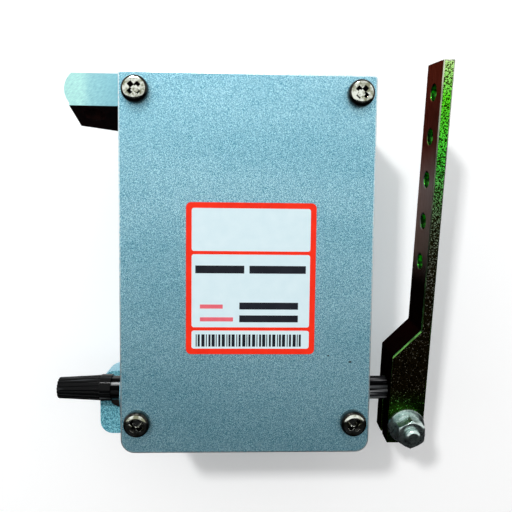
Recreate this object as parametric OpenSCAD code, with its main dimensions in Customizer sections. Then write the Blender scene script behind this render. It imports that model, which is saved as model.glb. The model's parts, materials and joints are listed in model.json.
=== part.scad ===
// Electric governor actuator: a rotary electromagnet in a cast housing turns an output shaft against a
// return spring, and a split clamp lever on the shaft's right end works the engine's fuel linkage.
// Millimetres. X points right, Y to the rear and Z up. The origin lies on the housing's rear face, on its
// centre line and level with the output shaft.

/* [Housing] */
// Width of the casting and its cover
case_w = 98; // [92:0.5:120]
// Height of the casting and its cover
case_h = 147; // [140:0.5:180]
// Depth of the casting, from its gasket face to its rear face
body_depth = 42; // [40:0.5:52]
// Thickness of the casting's walls
wall = 4; // [3:0.25:5]
// Radius of the two corners at the base
base_corner_r = 5.5; // [4.5:0.25:8]
// Radius of the two corners at the crown
crown_corner_r = 1.5; // [1:0.25:4]
// Radius along the edges of the rear face
rear_edge_r = 3; // [1:0.5:4]

/* [Cover] */
// Thickness of the cover plate
cover_t = 4; // [3:0.25:6]
// Thickness of the gasket under the cover
gasket_t = 1; // [0.5:0.25:1.5]
// Thread diameter of the cover screws
cover_screw_d = 5; // [4:0.5:6]
// Length of the cover screws under the head
cover_screw_len = 10; // [8:0.5:11]
// Head diameter of the cover screws
cover_screw_head_d = 10.2; // [8:0.2:11]
// Head height of the cover screws
cover_screw_head_h = 3.6; // [3:0.2:4.4]
// Cover screws' distance from the sides
screw_side_inset = 6.6; // [6:0.2:9]
// Upper cover screws' distance from the top edge
screw_crown_inset = 7; // [6.5:0.25:12]
// Lower cover screws' distance from the bottom edge
screw_base_inset = 12.4; // [10:0.2:14]
// Radius of the columns that take the cover screws
screw_column_r = 5.5; // [4.5:0.25:6]

/* [Label] */
// Width of the label
label_w = 50; // [30:1:70]
// Height of the label
label_h = 58.8; // [30:0.2:80]
// Thickness of the label
label_t = 0.2; // [0.1:0.05:0.5]
// Corner radius of the label
label_corner_r = 2; // [1:0.25:4]
// Label's centre to the right of the cover's centre line
label_offset_x = 1.5; // [-10:0.5:10]
// Label's bottom edge above the cover's bottom edge
label_above_base = 39.7; // [25:0.1:60]

/* [Upper lug] */
// How far the upper lug stands out from the housing's side
upper_lug_reach = 21.2; // [16:0.2:28]
// Height of the upper lug at its front
upper_lug_front_h = 12.2; // [9:0.2:18]
// Depth of the upper lug at its tip, front to back
upper_lug_tip_depth = 16; // [13:0.5:22]
// Depth of the upper lug at the housing, front to back
upper_lug_root_depth = 22.5; // [16:0.5:26]
// Slope of the upper lug's underside, in degrees
upper_lug_slope = 17; // [0:1:25]
// Radius of the upper lug's nose, seen from the front
upper_lug_nose_r = 8; // [7:0.5:12]
// How far the nose stands out from the lug's flat end
upper_lug_nose_out = 1.8; // [0.5:0.1:3]
// Diameter of the upright hole in the upper lug
upper_lug_hole_d = 8.8; // [6:0.2:9]
// Distance of the hole from the housing's side
upper_lug_hole_out = 11.5; // [9:0.5:13]
// Distance of the hole from the lug's front
upper_lug_hole_back = 7; // [6:0.25:10]

/* [Lower lug] */
// How far the lower lug stands out from the housing's side
lower_lug_reach = 15.6; // [13:0.2:24]
// Height of the lower lug
lower_lug_h = 28.6; // [24:0.2:36]
// Thickness of the lower lug, up to the rear face
lower_lug_t = 15; // [8:0.5:16]
// How far the middle of the lower lug lies below the shaft
lower_lug_drop = 9.3; // [6:0.1:12]
// How far the hole in the lower lug lies below the shaft
lower_lug_hole_drop = 7; // [4:0.25:10]
// Radius of the lower lug's upper corner
lower_lug_high_r = 7; // [4:0.25:10]
// Radius of the lower lug's lower corner
lower_lug_low_r = 5.5; // [4:0.25:10]
// Diameter of the hole in the lower lug
lower_lug_hole_d = 8.8; // [6:0.2:9]
// Distance of the hole from the lug's tip
lower_lug_hole_in = 8.8; // [7:0.2:11]

/* [Output shaft] */
// Diameter of the shaft
shaft_d = 10; // [9:0.25:11]
// Shaft axis above the bottom of the housing
shaft_above_base = 18.7; // [17.5:0.1:24]
// Shaft axis in front of the middle of the housing's inside
shaft_forward = 0; // [-1:0.25:1]
// Diameter of the plain stub under the cap
stub_d = 7.6; // [6:0.2:8]
// Length of the plain stub under the cap
stub_len = 18.5; // [12:0.5:20]
// Teeth in the serration
serration_teeth = 36; // [24:1:48]
// Depth of the serration's teeth
serration_depth = 0.4; // [0.2:0.05:0.6]

/* [Bearings and seals] */
// Outer diameter of the ball bearings
bearing_od = 26; // [25:0.5:27]
// Width of the ball bearings
bearing_w = 8; // [7:0.25:9]
// Balls in each bearing
ball_count = 8; // [6:1:8]
// Ball diameter
ball_d = 4.76; // [4:0.02:5]
// Width of the shaft seals
seal_w = 5; // [4:0.25:7]
// Wall of the bearing bosses around the bearings
boss_wall = 3; // [2:0.25:4]
// How far the bearing bosses stand out from the housing's sides
boss_raise = 2; // [0.5:0.25:3]

/* [Electromagnet] */
// Radius of the armature's pole tips
armature_r = 11.4; // [10.5:0.1:11.6]
// Thickness of the armature across its flats
armature_t = 14; // [13:0.25:16]
// Length of the armature along the shaft
armature_len = 38; // [30:1:44]
// Air gap between the armature and the pole plates
air_gap = 0.6; // [0.4:0.05:1]
// Thickness of the pole plates
plate_t = 4.5; // [3:0.25:4.75]
// Width of the pole plates
plate_w = 40; // [36:1:48]
// Diameter of the magnet core
core_d = 20; // [16:0.5:24]
// Lowest point of the bobbin above the shaft
coil_low = 33; // [30:0.5:36]
// Gap between the pole plates and the housing's top wall
plate_top_gap = 7.3; // [4:0.1:12]
// Thickness of the bobbin's flanges
bobbin_flange_t = 1.5; // [1:0.1:2.5]
// Wall of the bobbin's tube
bobbin_wall = 1.4; // [1:0.1:2.5]
// Depth of the bobbin's edge outside the winding
winding_inset = 2; // [1:0.25:4]

/* [Return spring and stop] */
// Wire diameter of the return spring
spring_wire_d = 1.8; // [1.2:0.1:2]
// Mean radius of the return spring's coils
spring_r = 8.2; // [7.6:0.1:8.6]
// Turns of the return spring
spring_turns = 5; // [3:1:5]
// Travel of the shaft between its stops, in degrees
travel = 25; // [15:1:30]
// Diameter of the stop pin and of the armature pin
pin_d = 4; // [3:0.25:4.5]
// How far the stop pin reaches from the shaft's axis
stop_pin_reach = 14.5; // [13.5:0.25:15.5]

/* [Lever] */
// Gap between the housing's side and the lever
lever_gap = 12.6; // [8:0.2:20]
// Width of the lever
lever_w = 17.4; // [15:0.2:21]
// Thickness of the lever's strip
strip_t = 4.5; // [3.5:0.1:7]
// Thickness of the lever's clamp block
block_t = 15.6; // [14:0.2:20]
// Top of the lever above the shaft, along the lever
lever_reach = 136.5; // [120:0.5:170]
// Bottom of the lever below the shaft, along the lever
lever_tail = 22; // [20:0.25:26]
// Top of the full-thickness block above the shaft
block_top = 17.6; // [14:0.2:24]
// Height of the slope from the block to the strip
block_slope_h = 11.6; // [6:0.2:16]
// Lean of the lever towards the front, in degrees
lever_lean = 7.9; // [0:0.1:12]
// Diameter of the link holes
link_hole_d = 6.5; // [5:0.25:8]
// Number of link holes
link_holes = 5; // [1:1:5]
// Pitch of the link holes
link_pitch = 17; // [12:0.5:18]
// Top link hole's distance from the lever's end
link_end = 11.5; // [8:0.5:16]
// Width of the clamp's slit
slit_w = 2; // [1:0.25:3]

/* [Clamp bolt] */
// Diameter of the clamp bolt
bolt_d = 6.35; // [5:0.05:7]
// Bolt axis below the shaft axis
bolt_drop = 13.5; // [11.5:0.1:14]
// Nut and bolt head size across the flats
hex_af = 11.1; // [10:0.1:12]
// Height of the nut
nut_h = 5.5; // [4:0.25:6.5]
// Height of the bolt head
bolt_head_h = 4.3; // [3.5:0.1:5]
// How far the bolt stands out of the nut
bolt_proud = 2.5; // [1:0.25:4]
// Outer diameter of the flat washer
washer_od = 15.6; // [12.5:0.1:16]
// Thickness of the flat washer
washer_t = 1.4; // [1:0.1:2]
// Outer diameter of the spring washer
spring_washer_od = 12.4; // [11:0.1:13]
// Thickness of the spring washer
spring_washer_t = 1.6; // [1.2:0.1:2]

/* [Shaft cap] */
// Bare length of shaft between the housing's side and the cap
cap_gap = 8.1; // [4:0.1:16]
// Length of the cap
cap_len = 22.8; // [22:0.1:30]
// Diameter of the cap over its ribs, at its mouth
cap_mouth_d = 10.8; // [10:0.1:13]
// Diameter of the cap over its ribs, at its tip
cap_tip_d = 8.9; // [8.7:0.1:10]
// Diameter of the collar at the cap's mouth
cap_collar_d = 11.5; // [11:0.1:14]
// Length of the collar at the cap's mouth
cap_collar_len = 4.7; // [2:0.1:7]
// Ribs round the cap
cap_ribs = 18; // [12:1:20]
// Height of the cap's ribs
cap_rib_h = 0.35; // [0.2:0.05:0.5]

/* [Connector] */
// Connector's centre to the right of the housing's centre line
connector_x = 30; // [26:0.5:32]
// Connector's centre below the top of the housing
connector_below_crown = 26; // [24:0.5:34]
// Side of the connector's square flange
connector_flange = 25; // [22:0.5:28]
// Thickness of the connector's flange
connector_flange_t = 2.5; // [2:0.25:4]
// Outer diameter of the connector's barrel
connector_d = 16; // [13:0.25:17]
// Length of the barrel behind the flange
connector_len = 12; // [8:0.5:16]
// Wall of the connector's barrel
connector_wall = 1.2; // [1:0.1:1.6]
// Spacing of the flange screws
connector_pitch = 18; // [17:0.25:20]
// Diameter of the flange screws
connector_screw_d = 3; // [2.5:0.25:3]
// Distance between the two contacts
contact_pitch = 6; // [5:0.25:7]
// Diameter of the contacts
contact_d = 2.4; // [2:0.1:3]

/* [Hidden] */
$fn = 64;

// Named clearances: a close seat, a turning fit, a screw in its hole and a loose passage
seat_clear = 0.02;
turning_clear = 0.05;
thread_clear = 0.05;
loose_clear = 0.3;
// Length by which a cut runs past the face that it opens
cut_past = 1;
// Overlap of two shapes that are joined into one solid
join = 0.01;

// Heights and depths of the housing and the cover
base_z = -shaft_above_base;
crown_z = base_z + case_h;
rim_y = -body_depth;
gasket_y = rim_y - gasket_t;
front_y = gasket_y - cover_t;
side_x = case_w / 2;
shaft_from_rear = (body_depth + wall) / 2 + shaft_forward;
cover_screw_places = [for (side = [-1, 1], z = [base_z + screw_base_inset, crown_z - screw_crown_inset])
    [side * (side_x - screw_side_inset), z]];

// Places along the shaft, outwards from the housing's middle
boss_end = side_x + boss_raise;
bearing_out = boss_end - seal_w;
bearing_in = bearing_out - bearing_w;
shoulder_t = 3;
boss_in = bearing_in - shoulder_t;
shoulder_r = armature_r + loose_clear;

// Bearing rings
ball_circle_r = (bearing_od + shaft_d) / 4;
ball_clear = 0.07;
groove_r = ball_d / 2 + ball_clear;
ring_gap = 3.2;
outer_ring_in_r = ball_circle_r + ring_gap / 2;
inner_ring_out_r = ball_circle_r - ring_gap / 2;
retaining_ring_t = 1;
retaining_groove_depth = 0.4;
retaining_ring_w = 1.9;

// Electromagnet
pole_r = armature_r + air_gap;
rear_plate_y = -shaft_from_rear + pole_r;
front_plate_y = -shaft_from_rear - pole_r;
plate_low = -armature_r + 1;
magnet_screw_edge = 6;
magnet_screw_x = plate_w / 2 - magnet_screw_edge;
magnet_screw_below_coil = 10;
magnet_screw_low = coil_low - magnet_screw_below_coil;
plate_high = crown_z - wall - plate_top_gap;
magnet_screw_high = plate_high - magnet_screw_edge;
bobbin_flange_d = magnet_screw_high - magnet_screw_edge - coil_low;
coil_above_shaft = coil_low + bobbin_flange_d / 2;
magnet_screw_d = 4;
magnet_screw_head_d = 7;
magnet_screw_head_h = 2.6;
pad_r = 5;
magnet_screw_tip = -wall / 2;
core_screw_d = 6;
core_screw_head_d = 11.6;
core_screw_head_h = 2.8;
core_screw_len = 13;
bobbin_clear = 0.1;
bobbin_end = pole_r - bobbin_clear;
tube_r = core_d / 2 + bobbin_clear + bobbin_wall;
winding_r = bobbin_flange_d / 2 - winding_inset;
winding_end = bobbin_end - bobbin_flange_t - bobbin_clear;
// Angle of the armature's pole tips behind the closed position, when the shaft rests
armature_rest = -(travel + 5);

// Return spring: its ends are set into the left bearing boss and into the armature
spring_leg_r = (shoulder_r + bearing_od / 2 + boss_wall) / 2;
spring_hole_floor = 0.6;
spring_boss_depth = shoulder_t - spring_hole_floor;
spring_leg_depth = 4;
spring_leg_clear = 0.25;
spring_start_x = -boss_in + spring_wire_d;
spring_pitch = spring_wire_d + 0.2;
spring_end_x = spring_start_x + spring_turns * spring_pitch;
spring_steps = 20;
spring_sides = 8;
spring_lead_in = 16;
spring_lead_out = 10;
spring_hole_r = spring_wire_d / 2 + spring_leg_clear;

// Stop pin: it stands up from the shaft and turns between two lugs on the right bearing boss
stop_x = (boss_in + armature_len / 2) / 2;
stop_lean = -travel / 2;
stop_clear = 0.3;
stop_lug_t = 4;
stop_lug_in = pin_d / 2 + stop_clear;

// Lever and its clamp
lever_x = side_x + lever_gap;
lever_out = lever_x + block_t;
strip_x = lever_out - strip_t;
block_mid_x = lever_x + block_t / 2;
shaft_proud = 0.5;
shaft_end = lever_out + shaft_proud;
serration_start = boss_end + 1;
serration_relief = 0.05;
clamp_clear = 0.05;
lever_front = -lever_w / 2;
washer_front = lever_front - washer_t;
spring_washer_front = washer_front - spring_washer_t;
nut_front = spring_washer_front - nut_h;
bolt_end = nut_front - bolt_proud;
bolt_chamfer = 0.8;

// Cap
cap_mouth_x = -(side_x + cap_gap);
cap_tip_x = cap_mouth_x - cap_len;
cap_ribs_start = cap_mouth_x - cap_collar_len;
cap_rib_w = 0.9;

// Connector
connector_z = crown_z - connector_below_crown;
connector_gasket_t = 0.8;
connector_seat_clear = 0.4;
connector_end_y = connector_flange_t + connector_len;
connector_corner_r = 2.5;
connector_inner_y = -wall - 2;
insert_recess = 1.5;
insert_r = connector_d / 2 - connector_wall - seat_clear;
contact_tail = 4;
connector_screw_head_d = 5.4;
connector_screw_head_h = 2;
connector_screw_tip = -wall + 0.6;
contact_places = [connector_x - contact_pitch / 2, connector_x + contact_pitch / 2];

// Leads from the contacts to the coil
lead_r = 0.9;
lead_clear = 0.2;
lead_sides = 8;
lead_bend = 2;
lead_run_in = 4;
lead_depths = [3, 6, 8, 9];

casting_colour = [0.62, 0.76, 0.81];
steel_colour = [0.72, 0.73, 0.74];
iron_colour = [0.42, 0.43, 0.45];
black_colour = [0.07, 0.07, 0.08];
plating_colour = [0.36, 0.34, 0.16];
zinc_colour = [0.70, 0.74, 0.70];

// A flat shape in X and Z, made solid between two depths
module along_y(from_y, to_y) {
    translate([0, to_y, 0])
        rotate([90, 0, 0])
            linear_extrude(to_y - from_y)
                children();
}

// A flat shape in Y and Z, made solid between two places along the shaft
module along_x(from_x, to_x) {
    translate([from_x, 0, 0])
        rotate([90, 0, 90])
            linear_extrude(to_x - from_x)
                children();
}

// A round bar along X
module rod_x(d, from_x, to_x) {
    translate([from_x, 0, 0])
        rotate([0, 90, 0])
            cylinder(d = d, h = to_x - from_x);
}

// A round bar along Y
module rod_y(d, from_y, to_y) {
    translate([0, from_y, 0])
        rotate([-90, 0, 0])
            cylinder(d = d, h = to_y - from_y);
}

// A turned shape: its profile has the radius first and the place along X second
module turned_x() {
    rotate([0, 90, 0])
        rotate_extrude()
            children();
}

// Puts a piece on the shaft's axis
module on_shaft() {
    translate([0, -shaft_from_rear, 0])
        children();
}

// Puts a piece that faces right on the left side too
module on_side(side) {
    if (side > 0)
        children();
    else
        mirror([1, 0, 0])
            children();
}

// A rectangle with its own radius at the two lower and the two upper corners
module rounded_rectangle(left, right, low, high, low_r, high_r) {
    translate([left, low + low_r])
        square([right - left, high - low - low_r - high_r]);
    translate([left + low_r, low])
        square([right - left - 2 * low_r, low_r + join]);
    translate([left + high_r, high - high_r - join])
        square([right - left - 2 * high_r, high_r + join]);
    for (x = [left + low_r, right - low_r])
        translate([x, low + low_r])
            circle(low_r);
    for (x = [left + high_r, right - high_r])
        translate([x, high - high_r])
            circle(high_r);
}

// The outline that the casting, the gasket and the cover share
module case_outline(inset = 0) {
    rounded_rectangle(-side_x + inset, side_x - inset, base_z + inset, crown_z - inset,
        max(base_corner_r - inset, 1), max(crown_corner_r - inset, 1));
}

// A solid that follows a path, with a round section
function unit(v) = v / norm(v);
function path_ring(path, i, r, sides, side_hint) =
    let (
        ahead = path[min(i + 1, len(path) - 1)],
        behind = path[max(i - 1, 0)],
        along = unit(ahead - behind),
        across = unit(cross(side_hint, along)),
        over = cross(along, across)
    )
    [for (k = [0 : sides - 1])
        path[i] + r * (cos(360 * k / sides) * across + sin(360 * k / sides) * over)];

module wire(path, r, sides, side_hint) {
    rings = len(path);
    skin = [for (i = [0 : rings - 1]) each path_ring(path, i, r, sides, side_hint)];
    walls = [for (i = [0 : rings - 2], k = [0 : sides - 1])
        let (
            near = i * sides + k,
            near_next = i * sides + (k + 1) % sides,
            far = near + sides,
            far_next = near_next + sides
        )
        each [[near, far, far_next], [near, far_next, near_next]]];
    start_cap = [for (k = [0 : sides - 1]) k];
    end_cap = [for (k = [sides - 1 : -1 : 0]) (rings - 1) * sides + k];
    polyhedron(points = skin, faces = concat([start_cap, end_cap], walls));
}

// A hexagon along Z with a corner towards Y, chamfered at its top by a cone of 30 degrees
module hexagon(af, h) {
    top_d = 0.98 * af;
    intersection() {
        rotate(90)
            cylinder(d = af / cos(30), h = h, $fn = 6);
        cylinder(d1 = top_d + 2 * h / tan(30), d2 = top_d, h = h);
    }
}

module casting_block() {
    intersection() {
        along_y(rim_y, 0)
            case_outline();
        along_x(-side_x, side_x)
            rear_rounded(base_z, crown_z);
        translate([0, 0, base_z])
            linear_extrude(case_h)
                mirror([1, -1])
                    rear_rounded(-side_x, side_x);
    }
}

// The casting's depth against its height or width, with round corners at the rear
module rear_rounded(low, high) {
    translate([rim_y, low])
        square([body_depth - rear_edge_r, high - low]);
    translate([rim_y, low + rear_edge_r])
        square([body_depth, high - low - 2 * rear_edge_r]);
    for (v = [low + rear_edge_r, high - rear_edge_r])
        translate([-rear_edge_r, v])
            circle(rear_edge_r);
}

// The lug is broadest at the housing, its underside slopes down to the rear and its nose is round
module upper_lug_body() {
    tip_x = -side_x - upper_lug_reach;
    root_x = -side_x + wall;
    flat_end_x = tip_x + upper_lug_nose_out;
    nose_z = crown_z - upper_lug_front_h / 2;
    low_z = crown_z - upper_lug_front_h - upper_lug_root_depth * tan(upper_lug_slope);
    intersection() {
        along_y(rim_y, rim_y + upper_lug_root_depth)
            union() {
                translate([tip_x + upper_lug_nose_r, nose_z])
                    circle(upper_lug_nose_r);
                translate([flat_end_x, low_z])
                    square([root_x - flat_end_x, nose_z - low_z]);
                translate([tip_x + upper_lug_nose_r, low_z])
                    square([root_x - tip_x - upper_lug_nose_r, crown_z - low_z]);
            }
        along_x(tip_x, root_x)
            polygon([
                [rim_y, crown_z],
                [rim_y, crown_z - upper_lug_front_h],
                [rim_y + upper_lug_root_depth, low_z],
                [rim_y + upper_lug_root_depth, crown_z]
            ]);
        translate([0, 0, low_z])
            linear_extrude(crown_z - low_z)
                polygon([
                    [tip_x, rim_y],
                    [root_x, rim_y],
                    [root_x, rim_y + upper_lug_root_depth],
                    [-side_x, rim_y + upper_lug_root_depth],
                    [tip_x, rim_y + upper_lug_tip_depth]
                ]);
    }
}

module lower_lug_body() {
    along_y(-lower_lug_t, 0)
        rounded_rectangle(-side_x - lower_lug_reach, -side_x + lower_lug_high_r + wall,
            -lower_lug_drop - lower_lug_h / 2, -lower_lug_drop + lower_lug_h / 2,
            lower_lug_low_r, lower_lug_high_r);
}

module stop_lugs() {
    // The pin lies against the front lug after the full travel and against the rear lug at rest
    for (lug = [[stop_lean, 1], [stop_lean + travel, -1]])
        on_shaft()
            rotate([lug[0], 0, 0])
                translate([stop_x - pin_d, lug[1] > 0 ? stop_lug_in : -stop_lug_in - stop_lug_t, shoulder_r])
                    cube([boss_in - stop_x + pin_d + cut_past, stop_lug_t, bearing_od / 2 + boss_wall - shoulder_r]);
}

// Cast light-alloy body with both mounting lugs, bearing bosses, screw columns and magnet pads
module housing() {
    color(casting_colour)
    difference() {
        union() {
            difference() {
                casting_block();
                along_y(rim_y - cut_past, -wall)
                    case_outline(wall);
            }
            intersection() {
                for (place = cover_screw_places)
                    translate([place[0], 0, place[1]])
                        rod_y(2 * screw_column_r, rim_y, -wall / 2);
                casting_block();
            }
            for (x = [-magnet_screw_x, magnet_screw_x], z = [magnet_screw_low, magnet_screw_high])
                translate([x, 0, z])
                    rod_y(2 * pad_r, rear_plate_y + plate_t, -wall / 2);
            for (side = [-1, 1])
                on_side(side)
                    on_shaft()
                        rod_x(bearing_od + 2 * boss_wall, boss_in, boss_end);
            stop_lugs();
            upper_lug_body();
            lower_lug_body();
        }
        for (side = [-1, 1])
            on_side(side)
                on_shaft() {
                    rod_x(bearing_od + 2 * seat_clear, bearing_in, boss_end + cut_past);
                    rod_x(2 * shoulder_r, boss_in - cut_past, bearing_in + cut_past);
                }
        for (place = cover_screw_places)
            translate([place[0], 0, place[1]])
                rod_y(cover_screw_d + 2 * thread_clear, rim_y - cut_past, front_y + cover_screw_len + cut_past);
        for (x = [-magnet_screw_x, magnet_screw_x], z = [magnet_screw_low, magnet_screw_high])
            translate([x, 0, z])
                rod_y(magnet_screw_d + 2 * thread_clear, rear_plate_y, magnet_screw_tip + loose_clear);
        translate([-side_x - upper_lug_hole_out, rim_y + upper_lug_hole_back, crown_z / 2])
            cylinder(d = upper_lug_hole_d, h = crown_z);
        translate([-side_x - lower_lug_reach + lower_lug_hole_in, 0, -lower_lug_hole_drop])
            rod_y(lower_lug_hole_d, -lower_lug_t - cut_past, cut_past);
        on_shaft()
            translate([0, 0, spring_leg_r])
                rod_x(2 * spring_hole_r, -boss_in - spring_boss_depth - loose_clear, -boss_in + cut_past);
        on_connector() {
            connector_plate(-connector_gasket_t, cut_past, connector_seat_clear);
            rod_y(connector_d + 2 * loose_clear, -wall - cut_past, cut_past);
            flange_holes(connector_screw_d + 2 * thread_clear, -wall - cut_past, cut_past);
        }
    }
}

// Flat gasket between the casting and the cover
module cover_gasket() {
    color(black_colour)
    along_y(gasket_y, rim_y)
        difference() {
            union() {
                difference() {
                    case_outline();
                    case_outline(wall);
                }
                intersection() {
                    case_outline();
                    for (place = cover_screw_places)
                        translate(place)
                            circle(screw_column_r);
                }
            }
            for (place = cover_screw_places)
                translate(place)
                    circle(cover_screw_d / 2 + loose_clear);
        }
}

// Flat cover plate
module cover() {
    color(casting_colour)
    along_y(front_y, gasket_y)
        difference() {
            case_outline();
            for (place = cover_screw_places)
                translate(place)
                    circle(cover_screw_d / 2 + loose_clear);
        }
}

// Cross recess of a screw, cut into a head whose top is at z = 0
module cross_recess(span, groove, depth) {
    for (turn = [0, 90])
        rotate(turn)
            translate([-span / 2, -groove / 2, -depth])
                cube([span, groove, depth + cut_past]);
}

// Pan-head screw along Z, head on top of z = 0
module pan_screw(d, len, head_d, head_h) {
    rim_r = 0.55 * head_h;
    recess_span = 0.55 * head_d;
    recess_groove = 0.13 * head_d;
    recess_depth = 0.6 * head_h;
    difference() {
        union() {
            translate([0, 0, -len])
                cylinder(d = d, h = len + join);
            rotate_extrude() {
                square([head_d / 2 - rim_r, head_h]);
                square([head_d / 2, head_h - rim_r]);
                translate([head_d / 2 - rim_r, head_h - rim_r])
                    intersection() {
                        circle(rim_r);
                        square(rim_r);
                    }
            }
        }
        translate([0, 0, head_h])
            cross_recess(recess_span, recess_groove, recess_depth);
    }
}

// Four cross-recess pan-head screws
module cover_screws() {
    color(steel_colour)
    for (place = cover_screw_places)
        translate([place[0], front_y, place[1]])
            rotate([90, 45, 0])
                pan_screw(cover_screw_d, cover_screw_len, cover_screw_head_d, cover_screw_head_h);
}

// Thin sticker on the cover
module label() {
    label_low = base_z + label_above_base;
    color([0.86, 0.18, 0.13])
    along_y(front_y - label_t, front_y)
        rounded_rectangle(label_offset_x - label_w / 2, label_offset_x + label_w / 2,
            label_low, label_low + label_h, label_corner_r, label_corner_r);
}

// Flat soft-iron plate that carries the magnet's field from the core down to the armature
module pole_plate(from_y) {
    difference() {
        along_y(from_y, from_y + plate_t)
            translate([-plate_w / 2, plate_low])
                square([plate_w, plate_high - plate_low]);
        translate([0, 0, coil_above_shaft])
            rod_y(core_screw_d + 2 * loose_clear, from_y - cut_past, from_y + plate_t + cut_past);
    }
}

// Countersunk seat of a core screw, its wide end at y = 0 and narrowing towards +Y
module core_screw_seat(grow) {
    rotate([-90, 0, 0])
        cylinder(d1 = core_screw_head_d + 2 * grow, d2 = core_screw_d + 2 * grow, h = core_screw_head_h + grow);
}

module rear_pole_plate() {
    color(iron_colour)
    difference() {
        pole_plate(rear_plate_y);
        for (x = [-magnet_screw_x, magnet_screw_x], z = [magnet_screw_low, magnet_screw_high])
            translate([x, 0, z])
                rod_y(magnet_screw_d + 2 * loose_clear, rear_plate_y - cut_past, rear_plate_y + plate_t + cut_past);
        translate([0, rear_plate_y + plate_t, coil_above_shaft])
            mirror([0, 1, 0])
                core_screw_seat(thread_clear);
    }
}

module front_pole_plate() {
    color(iron_colour)
    difference() {
        pole_plate(front_plate_y - plate_t);
        translate([0, front_plate_y - plate_t, coil_above_shaft])
            core_screw_seat(thread_clear);
    }
}

// Round iron core between the plates, tapped at both ends
module magnet_core() {
    tapped = core_screw_len - plate_t + loose_clear;
    color(iron_colour)
    translate([0, 0, coil_above_shaft])
        difference() {
            rod_y(core_d, front_plate_y, rear_plate_y);
            rod_y(core_screw_d + 2 * thread_clear, front_plate_y - cut_past, front_plate_y + tapped);
            rod_y(core_screw_d + 2 * thread_clear, rear_plate_y - tapped, rear_plate_y + cut_past);
        }
}

// Countersunk screw that starts at y = 0 and points towards +Y
module core_screw() {
    core_screw_seat(0);
    rod_y(core_screw_d, join, core_screw_len);
}

module core_screws() {
    color(steel_colour)
    translate([0, 0, coil_above_shaft]) {
        translate([0, front_plate_y - plate_t, 0])
            core_screw();
        translate([0, rear_plate_y + plate_t, 0])
            mirror([0, 1, 0])
                core_screw();
    }
}

// Four screws that hold the magnet to the casting's pads
module magnet_screws() {
    color(steel_colour)
    for (x = [-magnet_screw_x, magnet_screw_x], z = [magnet_screw_low, magnet_screw_high])
        translate([x, rear_plate_y, z])
            rotate([90, 0, 0])
                pan_screw(magnet_screw_d, magnet_screw_tip - rear_plate_y, magnet_screw_head_d, magnet_screw_head_h);
}

// Moulded bobbin round the core
module coil_bobbin() {
    color([0.85, 0.83, 0.74])
    translate([0, -shaft_from_rear, coil_above_shaft])
        difference() {
            union() {
                rod_y(2 * tube_r, -bobbin_end, bobbin_end);
                rod_y(bobbin_flange_d, -bobbin_end, -bobbin_end + bobbin_flange_t);
                rod_y(bobbin_flange_d, bobbin_end - bobbin_flange_t, bobbin_end);
            }
            rod_y(core_d + 2 * bobbin_clear, -bobbin_end - cut_past, bobbin_end + cut_past);
        }
}

// Enamelled copper winding, as one block
module coil_winding() {
    color([0.72, 0.42, 0.22])
    translate([0, -shaft_from_rear, coil_above_shaft])
        difference() {
            rod_y(2 * winding_r, -winding_end, winding_end);
            rod_y(2 * tube_r + 2 * seat_clear, -winding_end - cut_past, winding_end + cut_past);
        }
}

// Two insulated leads from the connector's contacts to the winding
module coil_leads() {
    tail_y = connector_inner_y - contact_tail - lead_clear;
    color([0.75, 0.12, 0.10])
    for (x = contact_places) {
        reach = [x, connector_z - coil_above_shaft];
        outward = unit(reach);
        near = outward * (winding_r + lead_r + lead_clear);
        bend = lead_bend * outward;
        run_in = near + lead_run_in * outward;
        wire([
            [x, tail_y, connector_z],
            [x, tail_y - lead_depths[0], connector_z],
            [x - bend[0], tail_y - lead_depths[1], connector_z - bend[1]],
            [run_in[0], tail_y - lead_depths[2], coil_above_shaft + run_in[1]],
            [near[0], tail_y - lead_depths[3], coil_above_shaft + near[1]]
        ], lead_r, lead_sides, [0.3, 0.1, 1]);
    }
}

// Rings of a ball bearing, centred on x = 0
module outer_ring() {
    turned_x()
        difference() {
            translate([outer_ring_in_r, -bearing_w / 2])
                square([bearing_od / 2 - outer_ring_in_r, bearing_w]);
            translate([ball_circle_r, 0])
                circle(groove_r);
        }
}

module inner_ring() {
    turned_x()
        difference() {
            translate([shaft_d / 2 + seat_clear, -bearing_w / 2])
                square([inner_ring_out_r - shaft_d / 2 - seat_clear, bearing_w]);
            translate([ball_circle_r, 0])
                circle(groove_r);
        }
}

module balls() {
    for (i = [0 : ball_count - 1])
        rotate([360 * i / ball_count, 0, 0])
            translate([0, ball_circle_r, 0])
                sphere(d = ball_d);
}

// Puts a bearing piece in its seat on one side
module in_bearing_seat(side) {
    translate([side * (bearing_in + bearing_out) / 2, -shaft_from_rear, 0])
        children();
}

module left_bearing_outer_ring() {
    color(steel_colour)
    in_bearing_seat(-1)
        outer_ring();
}

module left_bearing_balls() {
    color(steel_colour)
    in_bearing_seat(-1)
        balls();
}

module left_bearing_inner_ring() {
    color(steel_colour)
    in_bearing_seat(-1)
        inner_ring();
}

module right_bearing_outer_ring() {
    color(steel_colour)
    in_bearing_seat(1)
        outer_ring();
}

module right_bearing_balls() {
    color(steel_colour)
    in_bearing_seat(1)
        balls();
}

module right_bearing_inner_ring() {
    color(steel_colour)
    in_bearing_seat(1)
        inner_ring();
}

// Two open rings in the shaft's grooves, against the inner faces of the bearings
module retaining_rings() {
    ring_r = shaft_d / 2 - retaining_groove_depth + turning_clear;
    color(iron_colour)
    for (side = [-1, 1])
        on_side(side)
            on_shaft()
                difference() {
                    rod_x(2 * (ring_r + retaining_ring_w), bearing_in - retaining_ring_t, bearing_in - seat_clear);
                    rod_x(2 * ring_r, bearing_in - retaining_ring_t - cut_past, bearing_in + cut_past);
                    translate([bearing_in - retaining_ring_t - cut_past, -retaining_ring_w, 0])
                        cube([retaining_ring_t + 2 * cut_past, 2 * retaining_ring_w, shaft_d]);
                }
}

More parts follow.
